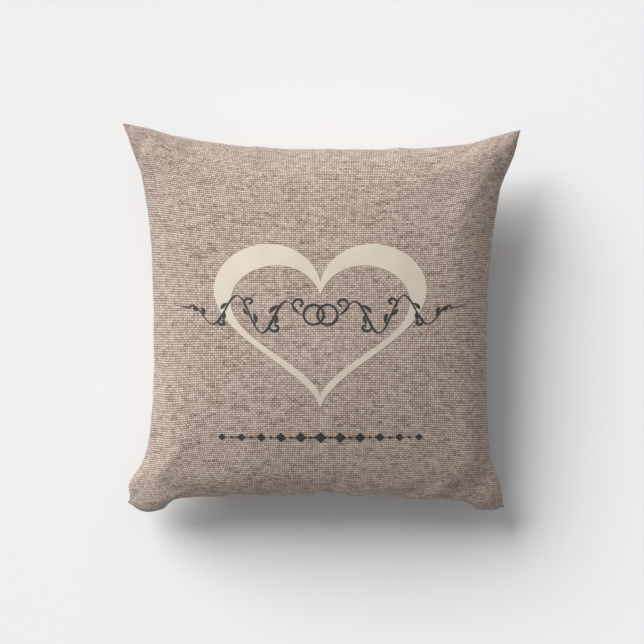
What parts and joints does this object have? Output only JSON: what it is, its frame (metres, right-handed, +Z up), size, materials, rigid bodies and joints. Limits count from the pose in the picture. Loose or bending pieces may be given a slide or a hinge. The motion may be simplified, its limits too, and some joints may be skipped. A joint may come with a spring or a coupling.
{
  "type": "ring bearer pillow",
  "caption": "Small square linen ring bearer pillow with heart, scroll and ring motifs on its front, a concealed zip in its lower seam and a separate inner pillow.",
  "frame": {"origin": "under the centre of the pillow, on the surface that it rests on", "axes": "+Z up through the front, +Y towards the top of the front, +X to the right of the front, along the zip"},
  "size_m": [0.254, 0.2496, 0.0878],
  "materials": {
    "linen": "coarse plain weave, matte",
    "cream_film": "heat-pressed film, matte",
    "dark_film": "heat-pressed film, matte",
    "seam_thread": "spun polyester thread",
    "zip_tape": "woven polyester tape",
    "zip_coil": "nylon monofilament",
    "zip_metal": "lacquered zinc alloy",
    "ticking": "fine white cotton",
    "fibre": "polyester wadding",
    "label": "blank satin ribbon"
  },
  "bodies": {
    "cushion": {"cover_front": "linen", "cover_back": "linen", "seam_needle_thread": "seam_thread", "seam_bobbin_thread": "seam_thread", "heart_motif": "cream_film", "flourish_left": "dark_film", "flourish_right": "dark_film", "ring_motif_left": "dark_film", "ring_motif_right": "dark_film", "border_motif": "dark_film", "zip_tape_front": "zip_tape", "zip_tape_back": "zip_tape", "zip_stitch_front": "seam_thread", "zip_stitch_back": "seam_thread", "zip_coil_front": "zip_coil", "zip_coil_back": "zip_coil", "zip_top_stop_front": "zip_metal", "zip_top_stop_back": "zip_metal", "zip_bottom_stop": "zip_metal", "insert_front": "ticking", "insert_back": "ticking", "insert_thread": "ticking", "insert_label": "label", "fibre_fill": "fibre"},
    "slider": {"zip_slider": "zip_metal"},
    "pull": {"zip_pull": "zip_metal"}
  },
  "joints": [
    {"name": "zip_run", "type": "slide", "parent": "cushion", "child": "slider", "axis": [-1, 0, 0], "range_m": [0, 0.136]},
    {"name": "pull_swing", "type": "hinge", "parent": "slider", "child": "pull", "pos_m": [0.068, -0.1075, 0.034], "axis": [0, 0, 1], "range_deg": [0, 175]}
  ]
}
